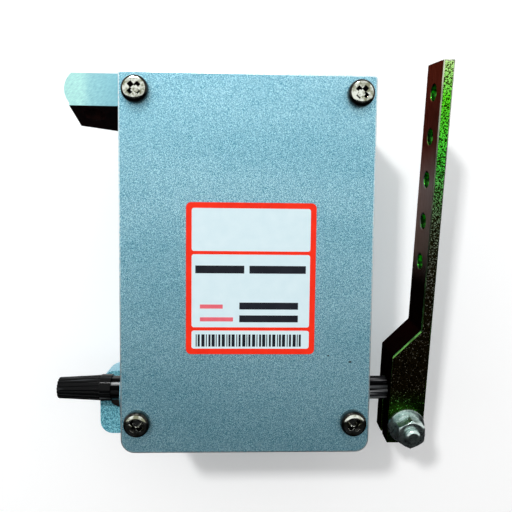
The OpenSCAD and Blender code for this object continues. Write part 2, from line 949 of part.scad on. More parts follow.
// Rubber lip seal in the mouth of a bearing boss, on the right side
module shaft_seal() {
    lip_t = 1.2;
    face_t = 1.5;
    color(black_colour)
    on_shaft()
        difference() {
            rod_x(bearing_od, bearing_out, boss_end - seat_clear);
            translate([bearing_out, 0, 0])
                rotate([0, 90, 0])
                    rotate_extrude()
                        translate([shaft_d / 2 + lip_t, 0])
                            square([bearing_od / 2 - shaft_d / 2 - 2 * lip_t, seal_w - face_t]);
            rod_x(shaft_d + 2 * turning_clear, bearing_out - cut_past, boss_end + cut_past);
        }
}

module left_shaft_seal() {
    on_side(-1)
        shaft_seal();
}

module right_shaft_seal() {
    on_side(1)
        shaft_seal();
}

// Saw-tooth section of the serrated shaft end
module serration() {
    polygon([for (i = [0 : 2 * serration_teeth - 1])
        let (r = shaft_d / 2 - serration_relief - (i % 2) * serration_depth, a = 180 * i / serration_teeth)
        [r * cos(a), r * sin(a)]]);
}

// Output shaft, serrated where the lever is clamped and with a plain stub under the cap
module output_shaft() {
    color(black_colour)
    on_shaft()
        difference() {
            union() {
                rod_x(shaft_d, cap_mouth_x, serration_start);
                along_x(serration_start - join, shaft_end)
                    serration();
                rod_x(stub_d, cap_mouth_x - stub_len, cap_mouth_x + join);
            }
            for (side = [-1, 1])
                on_side(side)
                    difference() {
                        rod_x(shaft_d + 2 * cut_past, bearing_in - retaining_ring_t - turning_clear, bearing_in);
                        rod_x(shaft_d - 2 * retaining_groove_depth, bearing_in - retaining_ring_t - cut_past,
                            bearing_in + cut_past);
                    }
            rotate([armature_rest, 0, 0])
                cylinder(d = pin_d + 2 * thread_clear, h = shaft_d + 2 * cut_past, center = true);
            translate([stop_x, 0, 0])
                rotate([stop_lean, 0, 0])
                    cylinder(d = pin_d + 2 * thread_clear, h = shaft_d + 2 * cut_past, center = true);
        }
}

// Soft-iron armature with two pole tips
module armature() {
    color(iron_colour)
    on_shaft()
        rotate([armature_rest, 0, 0])
            difference() {
                along_x(-armature_len / 2, armature_len / 2)
                    difference() {
                        intersection() {
                            circle(armature_r);
                            square([2 * armature_r, armature_t], center = true);
                        }
                        circle(shaft_d / 2 + seat_clear);
                    }
                cylinder(d = pin_d + 2 * thread_clear, h = armature_t + 2 * cut_past, center = true);
                rotate([-armature_rest, 0, 0])
                    rotate([spring_end_angle(), 0, 0])
                        translate([0, 0, spring_r])
                            rod_x(2 * spring_hole_r, -armature_len / 2 - cut_past,
                                -armature_len / 2 + spring_leg_depth + loose_clear);
            }
}

// Where the spring's inner end leaves its last turn, in degrees from straight up towards the front
function spring_end_angle() = armature_rest + 90;

// Pin through the armature and the shaft
module armature_pin() {
    color(steel_colour)
    on_shaft()
        rotate([armature_rest, 0, 0])
            cylinder(d = pin_d, h = armature_t, center = true);
}

// A point round the shaft's axis: place along X, radius, and degrees from straight up towards the front
function round_shaft(x, r, a) = [x, -shaft_from_rear - r * sin(a), r * cos(a)];

// Torsion spring round the shaft, with one leg in the bearing boss and one in the armature
module return_spring() {
    sweep_angle = 360 * spring_turns + spring_end_angle();
    steps = spring_steps * spring_turns;
    path = concat(
        [
            round_shaft(-boss_in - spring_boss_depth, spring_leg_r, 0),
            round_shaft(-boss_in, spring_leg_r, 0),
            round_shaft(spring_start_x - spring_wire_d / 4, spring_leg_r - spring_wire_d / 3, 1),
            round_shaft(spring_start_x, (spring_leg_r + spring_r) / 2, 6)
        ],
        [for (i = [0 : steps])
            round_shaft(spring_start_x + (spring_end_x - spring_start_x) * i / steps, spring_r,
                spring_lead_in + (sweep_angle - spring_lead_in - spring_lead_out) * i / steps)],
        [
            round_shaft(spring_end_x + spring_wire_d / 2, spring_r, sweep_angle),
            round_shaft(-armature_len / 2 - spring_wire_d / 2, spring_r, sweep_angle),
            round_shaft(-armature_len / 2 + spring_leg_depth, spring_r, sweep_angle)
        ]
    );
    color(steel_colour)
    wire(path, spring_wire_d / 2, spring_sides, [1, 0.35, 0.25]);
}

// Pin that stands up from the shaft and stops its travel
module stop_pin() {
    color(steel_colour)
    on_shaft()
        translate([stop_x, 0, 0])
            rotate([stop_lean, 0, 0])
                translate([0, 0, -shaft_d / 2])
                    cylinder(d = pin_d, h = shaft_d / 2 + stop_pin_reach);
}

// Push-on cap with straight ribs and a collar at its mouth
module shaft_cap() {
    core_mouth_r = cap_mouth_d / 2 - cap_rib_h;
    core_tip_r = cap_tip_d / 2 - cap_rib_h;
    taper_len = cap_len - cap_collar_len;
    taper = atan((core_mouth_r - core_tip_r) / taper_len);
    color(black_colour)
    on_shaft()
        difference() {
            union() {
                translate([cap_tip_x, 0, 0])
                    rotate([0, 90, 0])
                        cylinder(r1 = core_tip_r, r2 = core_mouth_r, h = taper_len + join);
                rod_x(cap_collar_d, cap_ribs_start, cap_mouth_x);
                intersection() {
                    for (i = [0 : cap_ribs - 1])
                        rotate([360 * i / cap_ribs, 0, 0])
                            translate([cap_ribs_start, 0, core_mouth_r])
                                rotate([0, -taper, 0])
                                    translate([-taper_len - cut_past, -cap_rib_w / 2, -cap_rib_h])
                                        cube([taper_len + 2 * cut_past, cap_rib_w, 2 * cap_rib_h]);
                    rod_x(2 * cap_collar_d, cap_tip_x, cap_ribs_start + cut_past);
                }
            }
            rod_x(stub_d + 2 * turning_clear, cap_mouth_x - stub_len - loose_clear, cap_mouth_x + cut_past);
        }
}

// Puts a piece of the lever on the shaft, with the lever's lean
module on_lever() {
    on_shaft()
        rotate([lever_lean, 0, 0])
            children();
}

// Plated steel lever: a strip with link holes that steps out to a split clamp round the shaft
module lever() {
    color(plating_colour)
    on_lever()
        difference() {
            along_y(-lever_w / 2, lever_w / 2)
                polygon([
                    [lever_x, -lever_tail],
                    [lever_out, -lever_tail],
                    [lever_out, lever_reach],
                    [strip_x, lever_reach],
                    [strip_x, block_top + block_slope_h],
                    [lever_x, block_top]
                ]);
            rod_x(shaft_d + 2 * clamp_clear, lever_x - cut_past, lever_out + cut_past);
            translate([lever_x - cut_past, -slit_w / 2, -lever_tail - cut_past])
                cube([block_t + 2 * cut_past, slit_w, lever_tail + cut_past]);
            translate([block_mid_x, 0, -bolt_drop])
                rod_y(bolt_d + 2 * loose_clear, -lever_w / 2 - cut_past, lever_w / 2 + cut_past);
            for (i = [0 : link_holes - 1])
                translate([0, 0, lever_reach - link_end - i * link_pitch])
                    rod_x(link_hole_d, strip_x - cut_past, lever_out + cut_past);
        }
}

// Puts a piece of the clamp on the bolt's axis, with Z pointing to the front
module on_clamp_bolt() {
    on_lever()
        translate([block_mid_x, 0, -bolt_drop])
            rotate([90, 0, 0])
                children();
}

// Hexagon bolt, its head behind the lever
module clamp_bolt() {
    color(zinc_colour)
    on_clamp_bolt() {
        translate([0, 0, -lever_w / 2])
            mirror([0, 0, 1])
                hexagon(hex_af, bolt_head_h);
        translate([0, 0, -lever_w / 2 - join])
            cylinder(d = bolt_d, h = lever_w / 2 - bolt_end - bolt_chamfer + join);
        translate([0, 0, -bolt_end - bolt_chamfer])
            cylinder(d1 = bolt_d, d2 = bolt_d - 2 * bolt_chamfer, h = bolt_chamfer);
    }
}

module flat_washer() {
    color(zinc_colour)
    on_clamp_bolt()
        translate([0, 0, -lever_front])
            difference() {
                cylinder(d = washer_od, h = washer_t);
                translate([0, 0, -cut_past])
                    cylinder(d = bolt_d + 2 * loose_clear, h = washer_t + 2 * cut_past);
            }
}

// Split spring washer
module spring_washer() {
    split_w = 1.2;
    color(zinc_colour)
    on_clamp_bolt()
        translate([0, 0, -washer_front])
            difference() {
                cylinder(d = spring_washer_od, h = spring_washer_t);
                translate([0, 0, -cut_past])
                    cylinder(d = bolt_d + 2 * loose_clear, h = spring_washer_t + 2 * cut_past);
                translate([0, -split_w / 2, -cut_past])
                    cube([spring_washer_od, split_w, spring_washer_t + 2 * cut_past]);
            }
}

module clamp_nut() {
    color(zinc_colour)
    on_clamp_bolt()
        translate([0, 0, -spring_washer_front])
            difference() {
                hexagon(hex_af, nut_h);
                translate([0, 0, -cut_past])
                    cylinder(d = bolt_d + 2 * thread_clear, h = nut_h + 2 * cut_past);
            }
}

// Puts a piece on the connector's axis
module on_connector() {
    translate([connector_x, 0, connector_z])
        children();
}

// Holes for the four flange screws, between two depths
module flange_holes(d, from_y, to_y) {
    for (dx = [-1, 1], dz = [-1, 1])
        translate([dx * connector_pitch / 2, 0, dz * connector_pitch / 2])
            rod_y(d, from_y, to_y);
}

// The flange's outline, between two depths
module connector_plate(from_y, to_y, grow = 0) {
    half = connector_flange / 2 + grow;
    along_y(from_y, to_y)
        rounded_rectangle(-half, half, -half, half, connector_corner_r + grow, connector_corner_r + grow);
}

module connector_gasket() {
    color(black_colour)
    on_connector()
        difference() {
            connector_plate(-connector_gasket_t, 0);
            rod_y(connector_d + 2 * loose_clear, -connector_gasket_t - cut_past, cut_past);
            flange_holes(connector_screw_d + 2 * loose_clear, -connector_gasket_t - cut_past, cut_past);
        }
}

// Receptacle shell: square flange with a round barrel on both sides
module connector_shell() {
    color(steel_colour)
    on_connector()
        difference() {
            union() {
                connector_plate(0, connector_flange_t);
                rod_y(connector_d, connector_inner_y, connector_end_y);
            }
            rod_y(connector_d - 2 * connector_wall, connector_inner_y - cut_past, connector_end_y + cut_past);
            flange_holes(connector_screw_d + 2 * loose_clear, -cut_past, connector_flange_t + cut_past);
        }
}

// Insulating insert with two sockets
module connector_insert() {
    color(black_colour)
    difference() {
        on_connector()
            rod_y(2 * insert_r, connector_inner_y, connector_end_y - insert_recess);
        for (x = contact_places)
            translate([x, 0, connector_z])
                rod_y(contact_d + 2 * seat_clear, connector_inner_y - cut_past, connector_end_y);
    }
}

// Two contacts with tails for the leads
module connector_contacts() {
    socket_depth = 5;
    socket_d = 0.6 * contact_d;
    color([0.83, 0.68, 0.32])
    for (x = contact_places)
        translate([x, 0, connector_z])
            difference() {
                rod_y(contact_d, connector_inner_y - contact_tail, connector_end_y - insert_recess);
                rod_y(socket_d, connector_end_y - insert_recess - socket_depth, connector_end_y);
            }
}

module connector_screws() {
    color(steel_colour)
    on_connector()
        for (dx = [-1, 1], dz = [-1, 1])
            translate([dx * connector_pitch / 2, connector_flange_t, dz * connector_pitch / 2])
                rotate([-90, 0, 0])
                    pan_screw(connector_screw_d, connector_flange_t - connector_screw_tip,
                        connector_screw_head_d, connector_screw_head_h);
}

housing();
cover_gasket();
cover();
cover_screws();
label();
rear_pole_plate();
magnet_core();
front_pole_plate();
core_screws();
magnet_screws();
coil_bobbin();
coil_winding();
coil_leads();
left_bearing_outer_ring();
left_bearing_balls();
left_bearing_inner_ring();
right_bearing_outer_ring();
right_bearing_balls();
right_bearing_inner_ring();
retaining_rings();
left_shaft_seal();
right_shaft_seal();
output_shaft();
armature();
armature_pin();
return_spring();
stop_pin();
shaft_cap();
lever();
clamp_bolt();
flat_washer();
spring_washer();
clamp_nut();
connector_gasket();
connector_shell();
connector_insert();
connector_contacts();
connector_screws();
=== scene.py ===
import json
import math

import bpy
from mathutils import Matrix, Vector

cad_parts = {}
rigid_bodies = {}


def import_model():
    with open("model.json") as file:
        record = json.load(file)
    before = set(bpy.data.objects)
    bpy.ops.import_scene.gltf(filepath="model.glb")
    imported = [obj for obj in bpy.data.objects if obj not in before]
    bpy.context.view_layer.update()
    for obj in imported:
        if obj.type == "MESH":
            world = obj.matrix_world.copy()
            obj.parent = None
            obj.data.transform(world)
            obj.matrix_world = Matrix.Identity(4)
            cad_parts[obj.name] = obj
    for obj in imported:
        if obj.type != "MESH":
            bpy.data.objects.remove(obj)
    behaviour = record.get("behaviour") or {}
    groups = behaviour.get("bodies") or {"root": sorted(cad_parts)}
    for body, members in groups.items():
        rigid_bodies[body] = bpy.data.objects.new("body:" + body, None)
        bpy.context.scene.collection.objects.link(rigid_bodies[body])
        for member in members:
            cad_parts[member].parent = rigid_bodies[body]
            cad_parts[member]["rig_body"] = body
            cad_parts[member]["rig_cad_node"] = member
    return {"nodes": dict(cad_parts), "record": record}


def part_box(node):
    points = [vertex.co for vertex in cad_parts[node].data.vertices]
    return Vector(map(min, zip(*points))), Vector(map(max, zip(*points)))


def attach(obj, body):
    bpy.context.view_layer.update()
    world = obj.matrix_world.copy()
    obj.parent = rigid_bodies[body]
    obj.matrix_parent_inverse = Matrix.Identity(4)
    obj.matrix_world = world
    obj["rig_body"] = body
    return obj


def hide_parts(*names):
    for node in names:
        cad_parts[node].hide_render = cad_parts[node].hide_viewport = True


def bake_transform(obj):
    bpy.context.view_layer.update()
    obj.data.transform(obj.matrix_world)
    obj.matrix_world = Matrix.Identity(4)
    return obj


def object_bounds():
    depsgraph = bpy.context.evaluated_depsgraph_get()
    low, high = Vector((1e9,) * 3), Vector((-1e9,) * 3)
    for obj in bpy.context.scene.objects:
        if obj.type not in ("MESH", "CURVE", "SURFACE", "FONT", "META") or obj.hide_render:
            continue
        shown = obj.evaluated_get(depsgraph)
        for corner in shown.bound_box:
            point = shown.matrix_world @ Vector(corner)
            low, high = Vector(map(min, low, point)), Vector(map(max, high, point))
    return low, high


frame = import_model()
cad_low, cad_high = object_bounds()
nodes = frame["nodes"]


# Camera and room
# The part hangs on a white wall, as it would on its bracket, in a white room with a dark cloth spread below.
# The camera stands a little left of the middle, at the height of the label, and looks slightly down.
MM = 0.001
WHITE = (1.0, 1.0, 1.0)
CAMERA_AT = (-4.57 * MM, -254.13 * MM, 74.95 * MM)
CAMERA_TURN = (85.706, -0.608, -2.147)
CAMERA_LENS, SENSOR_W = 37.97, 36.0
NEAREST_SEEN = 0.01

bpy.ops.object.select_all(action="DESELECT")
bpy.ops.object.camera_add(location=CAMERA_AT, rotation=[math.radians(a) for a in CAMERA_TURN])
camera = bpy.context.object
camera.data.lens = CAMERA_LENS
camera.data.sensor_width = SENSOR_W
camera.data.clip_start = NEAREST_SEEN
bpy.context.scene.camera = camera
bpy.context.scene.view_settings.view_transform = "Standard"

world = bpy.data.worlds.new("white_room")
bpy.context.scene.world = world
world.use_nodes = True
world.node_tree.nodes["Background"].inputs["Color"].default_value = (*WHITE, 1.0)
world.node_tree.nodes["Background"].inputs["Strength"].default_value = 1.0

LIT_POINT = Vector((0.0, 0.0, 0.05))


def soft_light(name, place, width, height, power, lights, shines):
    """A soft box turned to the middle of the part, which lights surfaces, shines in their gloss or both."""
    bpy.ops.object.light_add(type="AREA", location=place)
    lamp = bpy.context.object
    lamp.name = name
    lamp.data.shape = "RECTANGLE"
    lamp.data.size = width
    lamp.data.size_y = height
    lamp.data.energy = power
    lamp.rotation_euler = (LIT_POINT - Vector(place)).to_track_quat("-Z", "Y").to_euler()
    lamp.visible_camera = False
    lamp.visible_diffuse = lights
    lamp.visible_glossy = shines


soft_light("key_light", place=(-0.46, -1.10, 0.66), width=0.10, height=0.10, power=8.8,
           lights=True, shines=False)
soft_light("strip_light", place=(-0.20, -0.66, 0.95), width=0.50, height=0.04, power=5.0,
           lights=False, shines=True)


def new_material(name):
    """An empty material with its node tree and its shader."""
    material = bpy.data.materials.new(name)
    material.use_nodes = True
    tree = material.node_tree
    return material, tree, tree.nodes["Principled BSDF"]


def stage_sheet(name, size, place, turn, colour):
    """A flat, matt and square sheet of the room, in one colour."""
    bpy.ops.object.select_all(action="DESELECT")
    bpy.ops.mesh.primitive_plane_add(size=size)
    sheet = bpy.context.object
    sheet.name = name
    sheet.rotation_euler = (math.radians(turn), 0, 0)
    sheet.location = place
    bpy.ops.object.transform_apply(location=True, rotation=True)
    material, tree, shader = new_material(name)
    shader.inputs["Base Color"].default_value = (*colour, 1.0)
    shader.inputs["Roughness"].default_value = 1.0
    shader.inputs["Specular IOR Level"].default_value = 0.0
    sheet.data.materials.append(material)
    return sheet, tree, shader


def seen_directly(tree):
    """1 for what the camera, a mirror or glass sees, and 0 for light that falls on a surface."""
    path = tree.nodes.new("ShaderNodeLightPath")
    total = path.outputs["Is Camera Ray"]
    for ray in ("Is Glossy Ray", "Is Transmission Ray"):
        larger = tree.nodes.new("ShaderNodeMath")
        larger.operation = "MAXIMUM"
        tree.links.new(total, larger.inputs[0])
        tree.links.new(path.outputs[ray], larger.inputs[1])
        total = larger.outputs[0]
    return total


WALL_SIZE, WALL_BEHIND, WALL_GLOW = 3.0, 3.0 * MM, 0.15
wall_at = (0, cad_high.y + WALL_BEHIND, 0)
wall, tree, shader = stage_sheet("white_wall", WALL_SIZE, wall_at, turn=90.0, colour=(0.95, 0.95, 0.95))
shader.inputs["Emission Color"].default_value = (*WHITE, 1.0)
glow = tree.nodes.new("ShaderNodeMath")
glow.operation = "MULTIPLY"
glow.inputs[1].default_value = WALL_GLOW
tree.links.new(seen_directly(tree), glow.inputs[0])
tree.links.new(glow.outputs[0], shader.inputs["Emission Strength"])

clear = tree.nodes.new("ShaderNodeBsdfTransparent")
one_sided = tree.nodes.new("ShaderNodeMixShader")
tree.links.new(tree.nodes.new("ShaderNodeNewGeometry").outputs["Backfacing"], one_sided.inputs["Fac"])
tree.links.new(shader.outputs[0], one_sided.inputs[1])
tree.links.new(clear.outputs[0], one_sided.inputs[2])
tree.links.new(one_sided.outputs[0], tree.nodes["Material Output"].inputs["Surface"])
wall.visible_glossy = False
wall.visible_diffuse = False

CLOTH_SIZE, CLOTH_FRONT, CLOTH_BELOW = 4.0, -1.3, 0.15
cloth_at = (0, CLOTH_FRONT + CLOTH_SIZE / 2, cad_low.z - CLOTH_BELOW)
cloth = stage_sheet("dark_cloth", CLOTH_SIZE, cloth_at, turn=0.0, colour=(0.01, 0.01, 0.011))[0]
cloth.visible_camera = False
cloth.visible_shadow = False


# Housing
# The housing is a light-alloy casting with two lugs and two bearing bosses, sprayed with a silver-blue
# metallic paint that dries to a fine grain. Its bevelled edges are painted lighter, a painted highlight. The
# upper lug's front is sanded and painted lighter towards its left end, a painted sheen, and its underside
# and the lug bores are painted near-black, a painted shade. The lower lug's front is painted lighter and
# bluer in a matt coat, a painted light.
HOUSING_EDGE = 0.3 * MM
WELD, FLAT_ANGLE = 0.004 * MM, 0.5
EVEN, UNTURNED = (1.0, 1.0, 1.0), (0.0, 0.0, 0.0)
mounts = frame["record"]["mounts"]


def only(piece):
    """Selects one object and nothing else."""
    bpy.ops.object.select_all(action="DESELECT")
    piece.select_set(True)
    bpy.context.view_layer.objects.active = piece


def merged_copy(node, name, coat):
    """A copy of a CAD node with its points merged, which takes the node's place."""
    piece = nodes[node].copy()
    piece.data = nodes[node].data.copy()
    piece.name = name
    piece.parent = None
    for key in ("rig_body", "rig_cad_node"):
        del piece[key]
    bpy.context.scene.collection.objects.link(piece)
    only(piece)
    bpy.ops.object.mode_set(mode="EDIT")
    bpy.ops.mesh.select_all(action="SELECT")
    bpy.ops.mesh.remove_doubles(threshold=WELD)
    bpy.ops.mesh.dissolve_limited(angle_limit=math.radians(FLAT_ANGLE))
    bpy.ops.object.mode_set(mode="OBJECT")
    piece.data.materials.clear()
    piece.data.materials.append(coat)
    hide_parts(node)
    return piece


def bevelled(node, name, edge, coat, edge_coat=None, steps=2, sharp=35.0, limited=False):
    """A merged copy of a CAD node with its sharp edges rounded, in a coat of their own if one is given."""
    piece = merged_copy(node, name, coat)
    rounding = piece.modifiers.new("rounding", "BEVEL")
    if edge_coat:
        piece.data.materials.append(edge_coat)
        rounding.material = 1
    rounding.width = edge
    rounding.segments = steps
    rounding.limit_method = "ANGLE"
    rounding.angle_limit = math.radians(sharp)
    rounding.use_clamp_overlap = limited
    bpy.ops.object.modifier_apply(modifier="rounding")
    bpy.ops.object.shade_smooth_by_angle(angle=math.radians(sharp))
    flatten = piece.modifiers.new("flatten", "WEIGHTED_NORMAL")
    flatten.weight = 100
    flatten.keep_sharp = True
    bpy.ops.object.modifier_apply(modifier="flatten")
    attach(piece, nodes[node]["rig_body"])
    return piece


def place(tree):
    """The piece's own coordinates."""
    return tree.nodes.new("ShaderNodeTexCoord").outputs["Object"]


def noise(tree, size, detail=2.0, stretch=EVEN, turn=UNTURNED):
    """Noise with patches of about one size, turned by degrees and drawn out along the axes by stretch."""
    turned = tree.nodes.new("ShaderNodeMapping")
    turned.inputs["Rotation"].default_value = [math.radians(a) for a in turn]
    tree.links.new(place(tree), turned.inputs["Vector"])
    mapping = tree.nodes.new("ShaderNodeMapping")
    mapping.inputs["Scale"].default_value = [1.0 / (size * s) for s in stretch]
    tree.links.new(turned.outputs[0], mapping.inputs["Vector"])
    texture = tree.nodes.new("ShaderNodeTexNoise")
    texture.inputs["Scale"].default_value = 1.0
    texture.inputs["Detail"].default_value = detail
    tree.links.new(mapping.outputs[0], texture.inputs["Vector"])
    return texture.outputs["Fac"]


def ramp(tree, value, *stops):
    """A colour that follows a value, through stops of (value, colour)."""
    scale = tree.nodes.new("ShaderNodeValToRGB")
    while len(scale.color_ramp.elements) < len(stops):
        scale.color_ramp.elements.new(0.5)
    for element, (at, colour) in zip(scale.color_ramp.elements, stops):
        element.position = at
        element.color = (*colour, 1.0)
    tree.links.new(value, scale.inputs[0])
    return scale.outputs[0]


def along(tree, axis, low, high, *stops):
    """A colour that changes along one axis of the piece, through stops that are shares of the way."""
    split = tree.nodes.new("ShaderNodeSeparateXYZ")
    tree.links.new(place(tree), split.inputs[0])
    share = tree.nodes.new("ShaderNodeMapRange")
    share.inputs["From Min"].default_value = low
    share.inputs["From Max"].default_value = high
    tree.links.new(split.outputs[axis], share.inputs["Value"])
    return ramp(tree, share.outputs[0], *stops)


def patterned(tree, shader, pattern, colour, roughness, depth):
    """Links a colour, and lets a pattern spread the roughness and raise and sink the surface by a depth."""
    tree.links.new(colour, shader.inputs["Base Color"])
    spread = tree.nodes.new("ShaderNodeMapRange")
    spread.inputs["To Min"].default_value, spread.inputs["To Max"].default_value = roughness
    tree.links.new(pattern, spread.inputs["Value"])
    tree.links.new(spread.outputs[0], shader.inputs["Roughness"])
    if depth > 0:
        bump = tree.nodes.new("ShaderNodeBump")
        bump.inputs["Strength"].default_value = 1.0
        bump.inputs["Distance"].default_value = depth
        tree.links.new(pattern, bump.inputs["Height"])
        tree.links.new(bump.outputs[0], shader.inputs["Normal"])


def mottled(name, size, *stops, roughness, depth=0.0, metallic=0.0, specular=0.5, **pattern):
    """A finish whose colour, roughness and relief follow one noise, shaped by detail, stretch and turn."""
    material, tree, shader = new_material(name)
    shader.inputs["Metallic"].default_value = metallic
    shader.inputs["Specular IOR Level"].default_value = specular
    patches = noise(tree, size, **pattern)
    patterned(tree, shader, patches, ramp(tree, patches, *stops), roughness, depth)
    return material


def tint(material, colour):
    """Multiplies a finish's colour by another one."""
    tree = material.node_tree
    base = tree.nodes["Principled BSDF"].inputs["Base Color"]
    product = tree.nodes.new("ShaderNodeMix")
    product.data_type = "RGBA"
    product.blend_type = "MULTIPLY"
    product.inputs["Factor"].default_value = 1.0
    tree.links.new(base.links[0].from_socket, product.inputs[6])
    tree.links.new(colour, product.inputs[7])
    tree.links.new(product.outputs[2], base)


PAINT_GRAIN, PAINT_DRIFT = 0.26 * MM, 20.0 * MM
paint = mottled("cast_paint", PAINT_GRAIN, (0.40, (0.07, 0.29, 0.42)), (0.50, (0.29, 0.61, 0.76)),
                (0.60, (0.62, 0.95, 1.0)), roughness=(0.32, 0.50), depth=0.12 * MM, metallic=0.9)
drift = noise(paint.node_tree, PAINT_DRIFT, detail=1.0, stretch=(2.5, 1.0, 1.0))
tint(paint, ramp(paint.node_tree, drift, (0.32, (0.82, 0.90, 0.92)), (0.68, WHITE)))

# Painted highlight: the bevels along the edges take this lighter coat, so they shine like a lit chamfer.
edge_highlight = mottled("painted_edge_highlight", 0.9 * MM, (0.35, (0.46, 0.76, 0.86)), (0.60, (0.86, 0.93, 0.94)),
                 roughness=(0.26, 0.40), depth=0.02 * MM, metallic=0.9, detail=3.0)

BESIDE_COVER = 0.05 * MM
LUG_LEFT, LUG_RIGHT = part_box("housing")[0].x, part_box("cover")[0].x - BESIDE_COVER
sanded = mottled("sanded_paint", 0.24 * MM, (0.34, (0.36, 0.70, 0.70)), (0.66, (0.56, 0.95, 0.88)),
                 roughness=(0.30, 0.44), depth=0.03 * MM, metallic=0.85,
                 stretch=(7.0, 1.0, 1.0), turn=(0, 35, 0))
# Painted sheen: the sanded front is painted lighter towards the lug's left end and darker and bluer to the
# right, as light falls on its rounded nose.
tint(sanded, along(sanded.node_tree, "X", LUG_LEFT, LUG_RIGHT, (0.30, WHITE), (0.48, (0.68, 0.76, 0.86)),
                   (1.0, (0.52, 0.64, 0.78))))

# Painted light: the lower lug's front is painted lighter and bluer than the cast paint, as if lit more
# brightly.
lit_lug_paint = mottled("lug_paint_painted_light", 0.45 * MM, (0.42, (0.03, 0.25, 0.36)), (0.58, (0.33, 0.78, 0.88)),
              roughness=(0.5, 0.7), depth=0.06 * MM, metallic=0.3)
# Painted shade: a near-black coat for the lug bores and the upper lug's underside.
shade_coat = mottled("painted_shade_coat", 1.8 * MM, (0.3, (0.008, 0.002, 0.002)), (0.7, (0.030, 0.007, 0.006)),
               roughness=(0.65, 0.85), depth=0.03 * MM, specular=0.1, detail=3.0)

housing = bevelled("housing", "housing_casting", HOUSING_EDGE, paint, edge_highlight, limited=True)
EDGE_HIGHLIGHT, SHADE_COAT, SANDED, LIT_LUG = range(1, 5)
for coat in (shade_coat, sanded, lit_lug_paint):
    housing.data.materials.append(coat)
bpy.ops.object.mode_set(mode="EDIT")
bpy.ops.mesh.select_all(action="SELECT")
bpy.ops.mesh.bisect(plane_co=(LUG_RIGHT, 0, 0), plane_no=(1, 0, 0))
bpy.ops.object.mode_set(mode="OBJECT")

UPPER_LUG_FROM, LOWER_LUG_BEHIND = 100.0 * MM, -16.0 * MM
BORE_RIM = HOUSING_EDGE + 0.1 * MM
SQUARE_ON, SIDEWAYS = 0.9, 0.3
lug_bores = [mount for mount in mounts if mount["name"] in ("upper_lug_hole", "lower_lug_hole")]
for face in housing.data.polygons:
    on_lugs = face.center.x < LUG_RIGHT
    on_upper_lug = on_lugs and face.center.z > UPPER_LUG_FROM
    if on_upper_lug and face.normal.y < -SQUARE_ON:
        face.material_index = SANDED
    # The lower lug's front takes the painted light.
    elif on_lugs and face.normal.y < -SQUARE_ON and face.center.y > LOWER_LUG_BEHIND:
        face.material_index = LIT_LUG
    # The upper lug's underside takes the painted shade.
    elif on_upper_lug and face.normal.z < -SQUARE_ON:
        face.material_index = SHADE_COAT
    # The lug bores and their bevelled rims take the painted shade.
    for bore in lug_bores:
        axis = Vector(bore["axis"])
        off = face.center - Vector(bore["pos_m"])
        in_bore = (off - axis * off.dot(axis)).length < bore["dims"]["r_mm"] * MM + BORE_RIM
        if in_bore and (face.material_index == EDGE_HIGHLIGHT or abs(face.normal.dot(axis)) < SIDEWAYS):
            face.material_index = SHADE_COAT


# Magnet inside the housing
# Two soft-iron plates and a round core carry the field of the coil down to the armature. The coil is
# enamelled copper on a nylon bobbin, and steel screws hold the stack together and to the casting.
TONES = (0.3, 0.7)


def metal(name, light, dark, roughness, size, depth=0.01 * MM, stretch=EVEN):
    """Bare or plated metal: a colour that drifts between two tones, with fine marks."""
    return mottled(name, size, *zip(TONES, (dark, light)), roughness=(roughness - 0.08, roughness + 0.10),
                   depth=depth, metallic=1.0, detail=4.0, stretch=stretch)


def plastic(name, light, dark, roughness, size):
    """Moulded plastic or rubber with a slightly uneven skin."""
    return mottled(name, size, *zip(TONES, (dark, light)), roughness=(roughness - 0.06, roughness + 0.10),
                   depth=0.01 * MM, detail=3.0)


def dress(material, *names):
    """Gives CAD nodes a finish."""
    for name in names:
        coats = nodes[name].data.materials
        for i in range(len(coats)):
            coats[i] = material


iron = metal("soft_iron", (0.30, 0.31, 0.33), (0.16, 0.165, 0.18), 0.42, 2.0 * MM)
steel = metal("plain_steel", (0.62, 0.63, 0.64), (0.48, 0.49, 0.50), 0.30, 1.2 * MM)
copper = metal("enamelled_copper", (0.66, 0.27, 0.10), (0.42, 0.14, 0.05), 0.30, 0.6 * MM, depth=0.05 * MM,
               stretch=(1.0, 0.2, 1.0))
nylon = plastic("bobbin_nylon", (0.74, 0.70, 0.57), (0.64, 0.60, 0.47), 0.45, 3.0 * MM)
insulation = plastic("lead_insulation", (0.50, 0.04, 0.03), (0.36, 0.025, 0.02), 0.40, 1.0 * MM)
dress(iron, "rear_pole_plate", "magnet_core", "front_pole_plate")
dress(steel, "core_screws", "magnet_screws")
dress(copper, "coil_winding")
dress(nylon, "coil_bobbin")
dress(insulation, "coil_leads")


# Shaft, armature, bearings and seals
# The blackened steel shaft carries the soft-iron armature on a pin and runs in two ball bearings, each
# closed to the outside by a black lip seal. Open spring rings hold it endways, and its right end is cut
# with fine straight teeth for the lever. Bright streaks painted along the shaft are painted highlights on
# the teeth, and its left end is painted darker, a painted shade that dims its sheen.
ground = metal("bearing_steel", (0.68, 0.69, 0.70), (0.56, 0.57, 0.58), 0.18, 0.8 * MM,
               stretch=(0.2, 1.0, 1.0))
sprung = metal("spring_steel", (0.30, 0.31, 0.33), (0.20, 0.205, 0.22), 0.32, 0.8 * MM)
seal = plastic("seal_rubber", (0.024, 0.024, 0.027), (0.012, 0.012, 0.014), 0.55, 0.9 * MM)
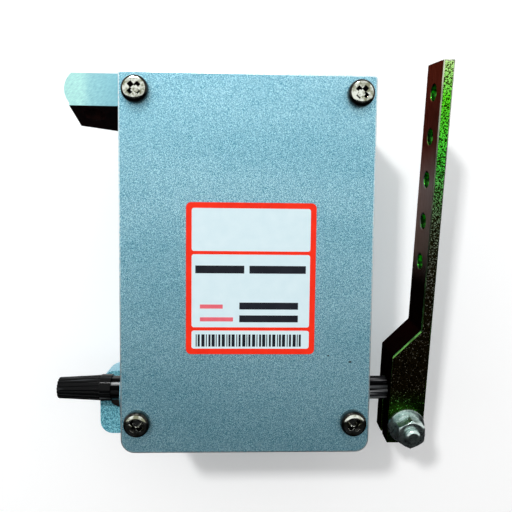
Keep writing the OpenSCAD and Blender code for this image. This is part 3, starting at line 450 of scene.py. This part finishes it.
# Painted highlights: bright streaks drawn out along the shaft stand for glints on the teeth; the tint below
# paints the left end darker, a painted shade that dims its sheen.
blackened = mottled("blackened_steel", 1.1 * MM, (0.48, (0.012, 0.0125, 0.014)), (0.60, (0.40, 0.41, 0.42)),
                    roughness=(0.44, 0.30), depth=0.02 * MM, metallic=1.0, detail=1.0,
                    stretch=(40.0, 1.0, 1.0))
shaft_low, shaft_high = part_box("output_shaft")
tint(blackened, along(blackened.node_tree, "X", shaft_low.x, shaft_high.x,
                      (0.4, (0.22, 0.22, 0.22)), (0.7, WHITE)))
for hand in ("left", "right"):
    dress(ground, hand + "_bearing_outer_ring", hand + "_bearing_balls", hand + "_bearing_inner_ring")
    dress(seal, hand + "_shaft_seal")
dress(sprung, "retaining_rings")
dress(blackened, "output_shaft")
dress(iron, "armature")
dress(steel, "armature_pin", "stop_pin")


# Return spring
# A coil of spring steel wire is wound round the shaft. One leg is hooked in the casting and the other in the
# armature, so that its turns twist as the shaft turns; the copy here stays still and is not twisted.
WIRE_SMOOTH = 60.0
spring = merged_copy("return_spring", "wound_spring", sprung)
bpy.ops.object.shade_smooth_by_angle(angle=math.radians(WIRE_SMOOTH))
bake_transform(spring)


# Connector at the rear
# A two-way receptacle with a square flange takes the cable's plug. Its shell is plated light alloy on a thin
# rubber gasket, held by four small screws, and the gold-plated contacts sit in a black insert.
alloy = metal("connector_alloy", (0.42, 0.43, 0.38), (0.30, 0.31, 0.27), 0.34, 1.5 * MM)
insert = plastic("insert_plastic", (0.03, 0.03, 0.033), (0.015, 0.015, 0.017), 0.45, 1.5 * MM)
gold = metal("contact_gold", (0.85, 0.60, 0.22), (0.70, 0.46, 0.14), 0.22, 0.8 * MM)
rubber = mottled("gasket_rubber", 1.5 * MM, (0.3, (0.012, 0.012, 0.014)), (0.7, (0.035, 0.035, 0.038)),
                 roughness=(0.6, 0.85), depth=0.02 * MM)
bevelled("connector_shell", "connector_shell_plated", 0.25 * MM, alloy)
dress(rubber, "connector_gasket")
dress(insert, "connector_insert")
dress(gold, "connector_contacts")
dress(steel, "connector_screws")


# Cover gasket and cover
# The cover is a flat plate cut to the casting's outline and painted with it; its cut edge is broken by a
# narrow bevel, and two small chips are knocked out of its paint. A thin black gasket lies under it.
COVER_EDGE = 0.6 * MM
dress(rubber, "cover_gasket")
# The cover's bevel takes the lighter edge coat, a painted highlight.
bevelled("cover", "cover_plate", COVER_EDGE, paint, edge_highlight, steps=3)

CHIPS = ((40.8, 36.6, 1.3), (32.1, 39.1, 0.8))
CHIP_T, CHIP_CORNERS = 0.06 * MM, 11
CHIP_RAGGED, CHIP_HEIGHT = 1 / 8, 0.6
cover_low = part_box("cover")[0]


def joined(name, pieces):
    """Joins pieces into one and names it."""
    bpy.ops.object.select_all(action="DESELECT")
    for piece in pieces:
        piece.select_set(True)
    bpy.context.view_layer.objects.active = pieces[0]
    bpy.ops.object.join()
    pieces[0].name = name
    return pieces[0]


def flake(right, up, across, seed):
    """A thin ragged flake on the cover's face, in millimetres from its centre line and its foot."""
    width = across * MM
    bpy.ops.object.select_all(action="DESELECT")
    bpy.ops.mesh.primitive_circle_add(vertices=CHIP_CORNERS, radius=width / 2, fill_type="NGON")
    chip = bpy.context.object
    bpy.ops.object.mode_set(mode="EDIT")
    bpy.ops.mesh.select_all(action="SELECT")
    bpy.ops.transform.vertex_random(offset=width * CHIP_RAGGED, seed=seed)
    bpy.ops.transform.resize(value=(1.0, CHIP_HEIGHT, 0.0))
    bpy.ops.mesh.extrude_region_move(TRANSFORM_OT_translate={"value": (0, 0, CHIP_T)})
    bpy.ops.mesh.select_all(action="SELECT")
    bpy.ops.mesh.normals_make_consistent(inside=False)
    bpy.ops.object.mode_set(mode="OBJECT")
    chip.rotation_euler = (math.radians(90), 0, 0)
    chip.location = (right * MM, cover_low.y + CHIP_T / 2, cover_low.z + up * MM)
    bpy.ops.object.transform_apply(location=True, rotation=True)
    return chip


soot = mottled("paint_chip", 0.3 * MM, (0.3, (0.004, 0.01, 0.015)), (0.7, (0.02, 0.035, 0.045)),
               roughness=(0.6, 0.8), specular=0.1)
chips = joined("cover_chips", [flake(*chip, seed) for seed, chip in enumerate(CHIPS)])
chips.data.materials.append(soot)
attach(chips, "case")


# Cover screws
# Four pan-head screws with a cross recess hold the cover. They are turned from steel and brightly plated;
# the punched recess keeps a little yellow wax in its corners, and the rim and the walls of the recess are
# painted dark, a painted shade and reflection of dark surroundings.
HEAD_D, HEAD_H = 10.2 * MM, 3.6 * MM
HEAD_EDGE, RIM_H = 0.012 * HEAD_D, 0.92 * HEAD_H
HEAD_STEPS = ((1.0, 0.48), (0.98, 0.66), (0.92, 0.82), (0.81, 0.92), (0.56, 0.98), (0.26, 1.0))
THREAD_D, THREAD_LEN, THREAD_IN_HEAD = 5.0 * MM, 10.0 * MM, 0.2 * HEAD_H
HEAD_SIDES, THREAD_SIDES, HEAD_SHARP = 48, 32, 40.0
RECESS_SPAN, RECESS_SLOT, RECESS_DEPTH = 8.0 * MM, 2.1 * MM, 2.3 * MM
FOOT_SPAN, FOOT_SLOT = 0.35, 0.75
SCREW_TURNS = (38.0, 52.0, 47.0, 41.0)


def domed_head(name):
    """A round head on z = 0, extruded upwards from a disc and drawn in step by step."""
    bpy.ops.object.select_all(action="DESELECT")
    bpy.ops.mesh.primitive_circle_add(vertices=HEAD_SIDES, radius=HEAD_D / 2, fill_type="NGON")
    head = bpy.context.object
    head.name = name
    bpy.ops.object.mode_set(mode="EDIT")
    radius = 1.0
    height = 0.0
    for share, rise in HEAD_STEPS:
        step = (0, 0, rise * HEAD_H - height)
        bpy.ops.mesh.extrude_region_move(TRANSFORM_OT_translate={"value": step})
        bpy.ops.transform.resize(value=(share / radius, share / radius, 1.0))
        radius = share
        height = rise * HEAD_H
    bpy.ops.object.mode_set(mode="OBJECT")
    return head


def recess_blade(turn):
    """One blade of the punch that makes the cross recess, narrower at its foot."""
    bpy.ops.mesh.primitive_cube_add(size=1.0)
    blade = bpy.context.object
    blade.scale = (RECESS_SPAN, RECESS_SLOT, 2 * RECESS_DEPTH)
    blade.location = (0, 0, HEAD_H)
    bpy.ops.object.transform_apply(location=True, scale=True)
    for corner in blade.data.vertices:
        if corner.co.z < HEAD_H:
            corner.co.x *= FOOT_SPAN
            corner.co.y *= FOOT_SLOT
    blade.rotation_euler = (0, 0, math.radians(turn))
    bpy.ops.object.transform_apply(rotation=True)
    return blade


def pan_head_screw(name):
    """A screw along +Z, its head on z = 0."""
    head = domed_head(name)
    bpy.ops.mesh.primitive_cylinder_add(vertices=THREAD_SIDES, radius=THREAD_D / 2,
                                        depth=THREAD_LEN + THREAD_IN_HEAD,
                                        location=(0, 0, (THREAD_IN_HEAD - THREAD_LEN) / 2))
    tools = [(bpy.context.object, "UNION")]
    tools += [(recess_blade(turn), "DIFFERENCE") for turn in (0.0, 90.0)]
    for tool, work in tools:
        only(head)
        cut = head.modifiers.new("cut", "BOOLEAN")
        cut.operation = work
        cut.object = tool
        bpy.ops.object.modifier_apply(modifier="cut")
        bpy.data.objects.remove(tool)
    only(head)
    soften = head.modifiers.new("soften", "BEVEL")
    soften.width = HEAD_EDGE
    soften.segments = 2
    soften.limit_method = "ANGLE"
    soften.angle_limit = math.radians(HEAD_SHARP)
    bpy.ops.object.modifier_apply(modifier="soften")
    bpy.ops.object.shade_smooth_by_angle(angle=math.radians(HEAD_SHARP))
    return head


def copies(pattern, name, places):
    """One piece made of copies of a pattern, each turned about its own axis and put in its place."""
    made = []
    for spot, turn in places:
        twin = pattern.copy()
        twin.data = pattern.data.copy()
        bpy.context.scene.collection.objects.link(twin)
        twin.rotation_euler = turn
        twin.location = spot
        only(twin)
        bpy.ops.object.transform_apply(location=True, rotation=True)
        made.append(twin)
    bpy.data.objects.remove(pattern)
    return joined(name, made)


polished = mottled("polished_screw", 2.4 * MM, (0.40, (0.26, 0.27, 0.18)), (0.58, (0.80, 0.84, 0.76)),
                   roughness=(0.16, 0.08), depth=0.01 * MM, metallic=1.0)
# Painted shade and reflection: a near-black coat for the rim and the walls of the recess.
rim_shade = mottled("screw_rim_painted_shade", 1.2 * MM, (0.35, (0.008, 0.008, 0.007)), (0.65, (0.045, 0.045, 0.04)),
                roughness=(0.16, 0.26), depth=0.01 * MM, metallic=1.0)

low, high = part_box("cover_screws")
side = HEAD_D / 2
spots = [(x, cover_low.y, z) for z in (low.z + side, high.z - side) for x in (low.x + side, high.x - side)]
turns = [(math.radians(90), math.radians(turn), 0) for turn in SCREW_TURNS]
cover_screws = copies(pan_head_screw("pan_head"), "cover_screw_set", list(zip(spots, turns)))
cover_screws.data.materials.append(polished)
cover_screws.data.materials.append(rim_shade)
# The rim's faces and the recess walls take the near-black coat, a painted shade and reflection.
for face in cover_screws.data.polygons:
    if abs(face.normal.y) < SQUARE_ON and face.center.y > cover_low.y - RIM_H:
        face.material_index = 1
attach(cover_screws, "case")
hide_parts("cover_screws")


# Label
# A printed film label is stuck on the cover. It has a red frame round three pale fields, with plain bars in
# the middle one and a row of stripes in the lowest.
FRAME_W, DIVIDER_W = 2.2 * MM, 1.3 * MM
UPPER_DIVIDER, LOWER_DIVIDER = 38.9 * MM, 9.3 * MM
FILM_T, INK_T = 0.16 * MM, 0.02 * MM
FILM_CORNER, FIELD_CORNER, CORNER_STEPS = 2.0 * MM, 0.9 * MM, 6
label_low, label_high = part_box("label")
label_w, label_h = label_high.x - label_low.x, label_high.z - label_low.z


def film(name, left, right, low, high, back, front, corner=0.0):
    """A thin upright plate with round corners, in metres from the label's lower left corner and its back."""
    bpy.ops.object.select_all(action="DESELECT")
    bpy.ops.mesh.primitive_plane_add(size=1.0)
    sheet = bpy.context.object
    sheet.name = name
    sheet.scale = (right - left, high - low, 1.0)
    sheet.location = ((left + right) / 2, (low + high) / 2, 0)
    bpy.ops.object.transform_apply(location=True, scale=True)
    bpy.ops.object.mode_set(mode="EDIT")
    bpy.ops.mesh.select_all(action="SELECT")
    if corner > 0:
        bpy.ops.mesh.bevel(offset=corner, segments=CORNER_STEPS, affect="VERTICES")
    bpy.ops.mesh.select_all(action="SELECT")
    bpy.ops.mesh.extrude_region_move(TRANSFORM_OT_translate={"value": (0, 0, back - front)})
    bpy.ops.mesh.select_all(action="SELECT")
    bpy.ops.mesh.normals_make_consistent(inside=False)
    bpy.ops.object.mode_set(mode="OBJECT")
    sheet.rotation_euler = (math.radians(90), 0, 0)
    sheet.location = (label_low.x, label_high.y - front, label_low.z)
    bpy.ops.object.transform_apply(location=True, rotation=True)
    return sheet


def bar(left, right, low, high):
    """A printed bar on a field, in millimetres from the label's lower left corner."""
    return film("bar", left * MM, right * MM, low * MM, high * MM, FILM_T + INK_T, FILM_T + 2 * INK_T)


def print_ink(name, light, dark, roughness):
    """Printing ink on film: nearly even, with a faint mottle and the film's gloss."""
    return mottled(name, 4.0 * MM, *zip(TONES, (dark, light)), roughness=(roughness, roughness + 0.1),
                   depth=0.005 * MM, specular=0.2, detail=3.0)


red = print_ink("label_red", (0.95, 0.028, 0.006), (0.86, 0.022, 0.005), 0.45)
pale = print_ink("label_pale", (0.69, 0.84, 0.885), (0.65, 0.81, 0.86), 0.45)
black = print_ink("label_black", (0.012, 0.014, 0.022), (0.006, 0.008, 0.014), 0.4)
pink = print_ink("label_pink", (0.85, 0.16, 0.20), (0.75, 0.12, 0.16), 0.4)

sheet = film("label_film", 0, label_w, 0, label_h, 0, FILM_T, FILM_CORNER)
field_heights = ((UPPER_DIVIDER + DIVIDER_W, label_h - FRAME_W), (LOWER_DIVIDER + DIVIDER_W, UPPER_DIVIDER),
                 (FRAME_W, LOWER_DIVIDER))
fields = [film("label_field", FRAME_W, label_w - FRAME_W, low, high, FILM_T, FILM_T + INK_T, FIELD_CORNER)
          for low, high in field_heights]
panels = joined("label_fields", fields)

UPPER_BARS_LOW, UPPER_BARS_HIGH = 31.6, 34.6
UPPER_BARS = ((3.6, 22.4), (24.4, 46.2))
LOWER_BARS_LEFT, LOWER_BARS_RIGHT = 20.6, 43.4
LOWER_BARS = ((17.6, 20.3), (12.6, 15.3))
STRIPES_LEFT, STRIPES_RIGHT = 3.8, 45.2
STRIPES_LOW, STRIPES_HIGH = 3.0, 7.8
STRIPE_W, STRIPE_STEP = 0.40, 0.42
GAP_W, GAP_STEP = 0.38, 0.11
bars = [bar(left, right, UPPER_BARS_LOW, UPPER_BARS_HIGH) for left, right in UPPER_BARS]
bars += [bar(LOWER_BARS_LEFT, LOWER_BARS_RIGHT, low, high) for low, high in LOWER_BARS]
left = STRIPES_LEFT
count = 0
while left < STRIPES_RIGHT:
    width = STRIPE_W + STRIPE_STEP * (7 * count % 3)
    bars.append(bar(left, left + width, STRIPES_LOW, STRIPES_HIGH))
    left += width + GAP_W + GAP_STEP * ((count * count + count) % 5)
    count += 1
ink = joined("label_bars", bars)

MARK_LEFT, MARK_H = 5.4, 1.6
MARKS = ((14.2, 17.9), (18.2, 12.9))
marks = joined("label_marks", [bar(MARK_LEFT, right, low, low + MARK_H) for right, low in MARKS])
for piece, colour in ((sheet, red), (panels, pale), (ink, black), (marks, pink)):
    piece.data.materials.append(colour)
    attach(piece, "case")
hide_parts("label")


# Shaft cap
# A moulded black cap is pushed over the shaft's left end. It has straight ribs for the fingers, a collar at
# its mouth and a smooth skin with faint lighter streaks painted along the ribs, painted highlights.
CAP_EDGE = 0.2 * MM
# Painted highlights: faint lighter streaks drawn out along the ribs of the black skin.
moulded = mottled("cap_plastic", 1.3 * MM, (0.55, (0.003, 0.0032, 0.0035)), (0.70, (0.09, 0.096, 0.10)),
                  roughness=(0.06, 0.16), depth=0.004 * MM, specular=0.10, detail=1.0,
                  stretch=(30.0, 1.0, 1.0))
bevelled("shaft_cap", "ribbed_cap", CAP_EDGE, moulded, steps=3, sharp=30.0)


# Lever
# The lever is sawn and milled from flat steel: a strip with five link holes that widens to a split clamp
# block. It is zinc plated and yellow passivated. Its broad faces are smooth and dark, darker towards the
# block and maroon towards the tip, with a grey band between them, a painted sheen. Its front rounded edges
# carry a painted green highlight, and its rough sawn edges carry painted glints, sparse on the block and
# dense and green at the tip, with a painted green reflection just above the washers.
LEVER_EDGE = 0.55 * MM
LEVER_LOW, LEVER_HIGH = (corner.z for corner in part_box("lever"))


def along_lever(tree, *stops):
    """A colour that changes from the block up to the tip, used to paint the lever's sheen, highlights and
    glints.
    """
    return along(tree, "Z", LEVER_LOW, LEVER_HIGH, *stops)


def cells(tree, size):
    """A random grey for each small cell, as on broken or crystalline surfaces."""
    texture = tree.nodes.new("ShaderNodeTexVoronoi")
    texture.inputs["Scale"].default_value = 1.0 / size
    tree.links.new(place(tree), texture.inputs["Vector"])
    split = tree.nodes.new("ShaderNodeSeparateColor")
    tree.links.new(texture.outputs["Color"], split.inputs[0])
    return split.outputs[0]


face_plating_and_sheen = mottled("plating_and_sheen_on_faces", 1.2 * MM, (0.3, (0.70, 0.68, 0.68)), (0.7, WHITE),
                         roughness=(0.34, 0.50), depth=0.012 * MM, metallic=1.0, detail=3.0,
                         stretch=(1.0, 0.4, 4.0))
tree = face_plating_and_sheen.node_tree
tree.nodes["Principled BSDF"].inputs["Specular Tint"].default_value = (0.10, 0.05, 0.05, 1.0)
# Darker towards the block and maroon towards the tip, with a grey band in the middle that is a painted
# sheen.
tint(face_plating_and_sheen, along_lever(tree, (0.0, (0.020, 0.010, 0.008)), (0.44, (0.030, 0.010, 0.008)),
                                 (0.53, (0.28, 0.22, 0.19)), (0.70, (0.36, 0.29, 0.27)),
                                 (0.80, (0.20, 0.08, 0.06)), (1.0, (0.18, 0.055, 0.034))))

# Painted highlight: the front rounded edges are painted green on the block, darker in the middle and bright
# at the tip.
lever_edge_highlight = mottled("painted_highlight_on_rounded_edges", 2.5 * MM, (0.35, (0.35, 0.35, 0.35)), (0.65, WHITE),
                     roughness=(0.20, 0.32), depth=0.015 * MM, metallic=1.0, stretch=(1.0, 1.0, 3.0))
tint(lever_edge_highlight, along_lever(lever_edge_highlight.node_tree, (0.0, (0.30, 0.42, 0.05)), (0.35, (0.20, 0.60, 0.14)),
                             (0.50, (0.16, 0.20, 0.12)), (0.75, (0.25, 0.30, 0.20)),
                             (1.0, (0.85, 0.95, 0.70))))

# Painted glints: white cells on the sawn edges, sparse on the block and denser towards the tip.
GLINT_RISE = ((0.25, 0.0), (0.36, 0.06), (0.55, 0.16), (0.70, 0.36), (0.85, 0.48))
sawn_plating_and_glints, tree, shader = new_material("plating_and_glints_on_sawn_edges")
shader.inputs["Metallic"].default_value = 1.0
facets = cells(tree, 0.34 * MM)
denser = along_lever(tree, *[(share, (rise, rise, rise)) for share, rise in GLINT_RISE])
raised = tree.nodes.new("ShaderNodeMath")
raised.operation = "ADD"
tree.links.new(facets, raised.inputs[0])
tree.links.new(denser, raised.inputs[1])
glints = ramp(tree, raised.outputs[0], (0.0, (0.050, 0.038, 0.014)), (0.95, (0.085, 0.062, 0.022)),
              (0.99, WHITE))
patterned(tree, shader, facets, glints, roughness=(0.18, 0.36), depth=0.04 * MM)
# Painted reflection and highlight: green just above the washers, grey-olive in the middle and bright green
# towards the tip.
tint(sawn_plating_and_glints, along_lever(tree, (0.11, (0.16, 0.75, 0.10)), (0.16, (0.40, 0.36, 0.28)),
                               (0.45, (0.45, 0.48, 0.40)), (0.60, (0.36, 0.52, 0.32)),
                               (0.74, (0.10, 0.95, 0.08)), (0.90, (0.14, 0.95, 0.02)),
                               (1.0, (0.70, 1.0, 0.40))))

hole_wall = mottled("plating_in_holes", 3.0 * MM, (0.42, (0.010, 0.040, 0.008)), (0.60, (0.06, 0.55, 0.04)),
                    roughness=(0.16, 0.26), depth=0.03 * MM, metallic=1.0, detail=1.0)

lever = bevelled("lever", "plated_lever", LEVER_EDGE, face_plating_and_sheen, lever_edge_highlight, steps=3)
FACE, ROUNDED, SAWN, HOLE = range(4)
lever.data.materials.append(sawn_plating_and_glints)
lever.data.materials.append(hole_wall)
HOLE_RIM = LEVER_EDGE + 0.4 * MM
ON_EDGE, AWAY_FROM_FRONT = 0.55, -0.3
link_holes = [mount for mount in mounts if mount["name"].startswith("link_hole")]
for face in lever.data.polygons:
    on_edge = abs(face.normal.x) < ON_EDGE
    in_hole = any((face.center - Vector(hole["pos_m"])).yz.length < hole["dims"]["r_mm"] * MM + HOLE_RIM
                  for hole in link_holes)
    if in_hole:
        face.material_index = HOLE if on_edge else FACE
    # Rounded edges that do not face the front lose the painted highlight.
    elif face.material_index == ROUNDED and face.normal.y > AWAY_FROM_FRONT:
        face.material_index = FACE
    elif face.material_index == FACE and on_edge:
        face.material_index = SAWN


# Clamp bolt, washers and nut
# A hexagon bolt draws the split block together round the shaft's teeth. The nut at the front bears on a
# spring washer and a flat washer. All four are bright zinc plated, with a slight blue-green cast.
BOLT_SET = (("clamp_bolt", 0.12), ("flat_washer", 0.18), ("spring_washer", 0.18), ("clamp_nut", 0.15))
zinc = metal("bright_zinc", (0.74, 0.84, 0.81), (0.40, 0.53, 0.50), 0.28, 1.5 * MM)
for node, edge in BOLT_SET:
    bevelled(node, node + "_plated", edge * MM, zinc, sharp=25.0)
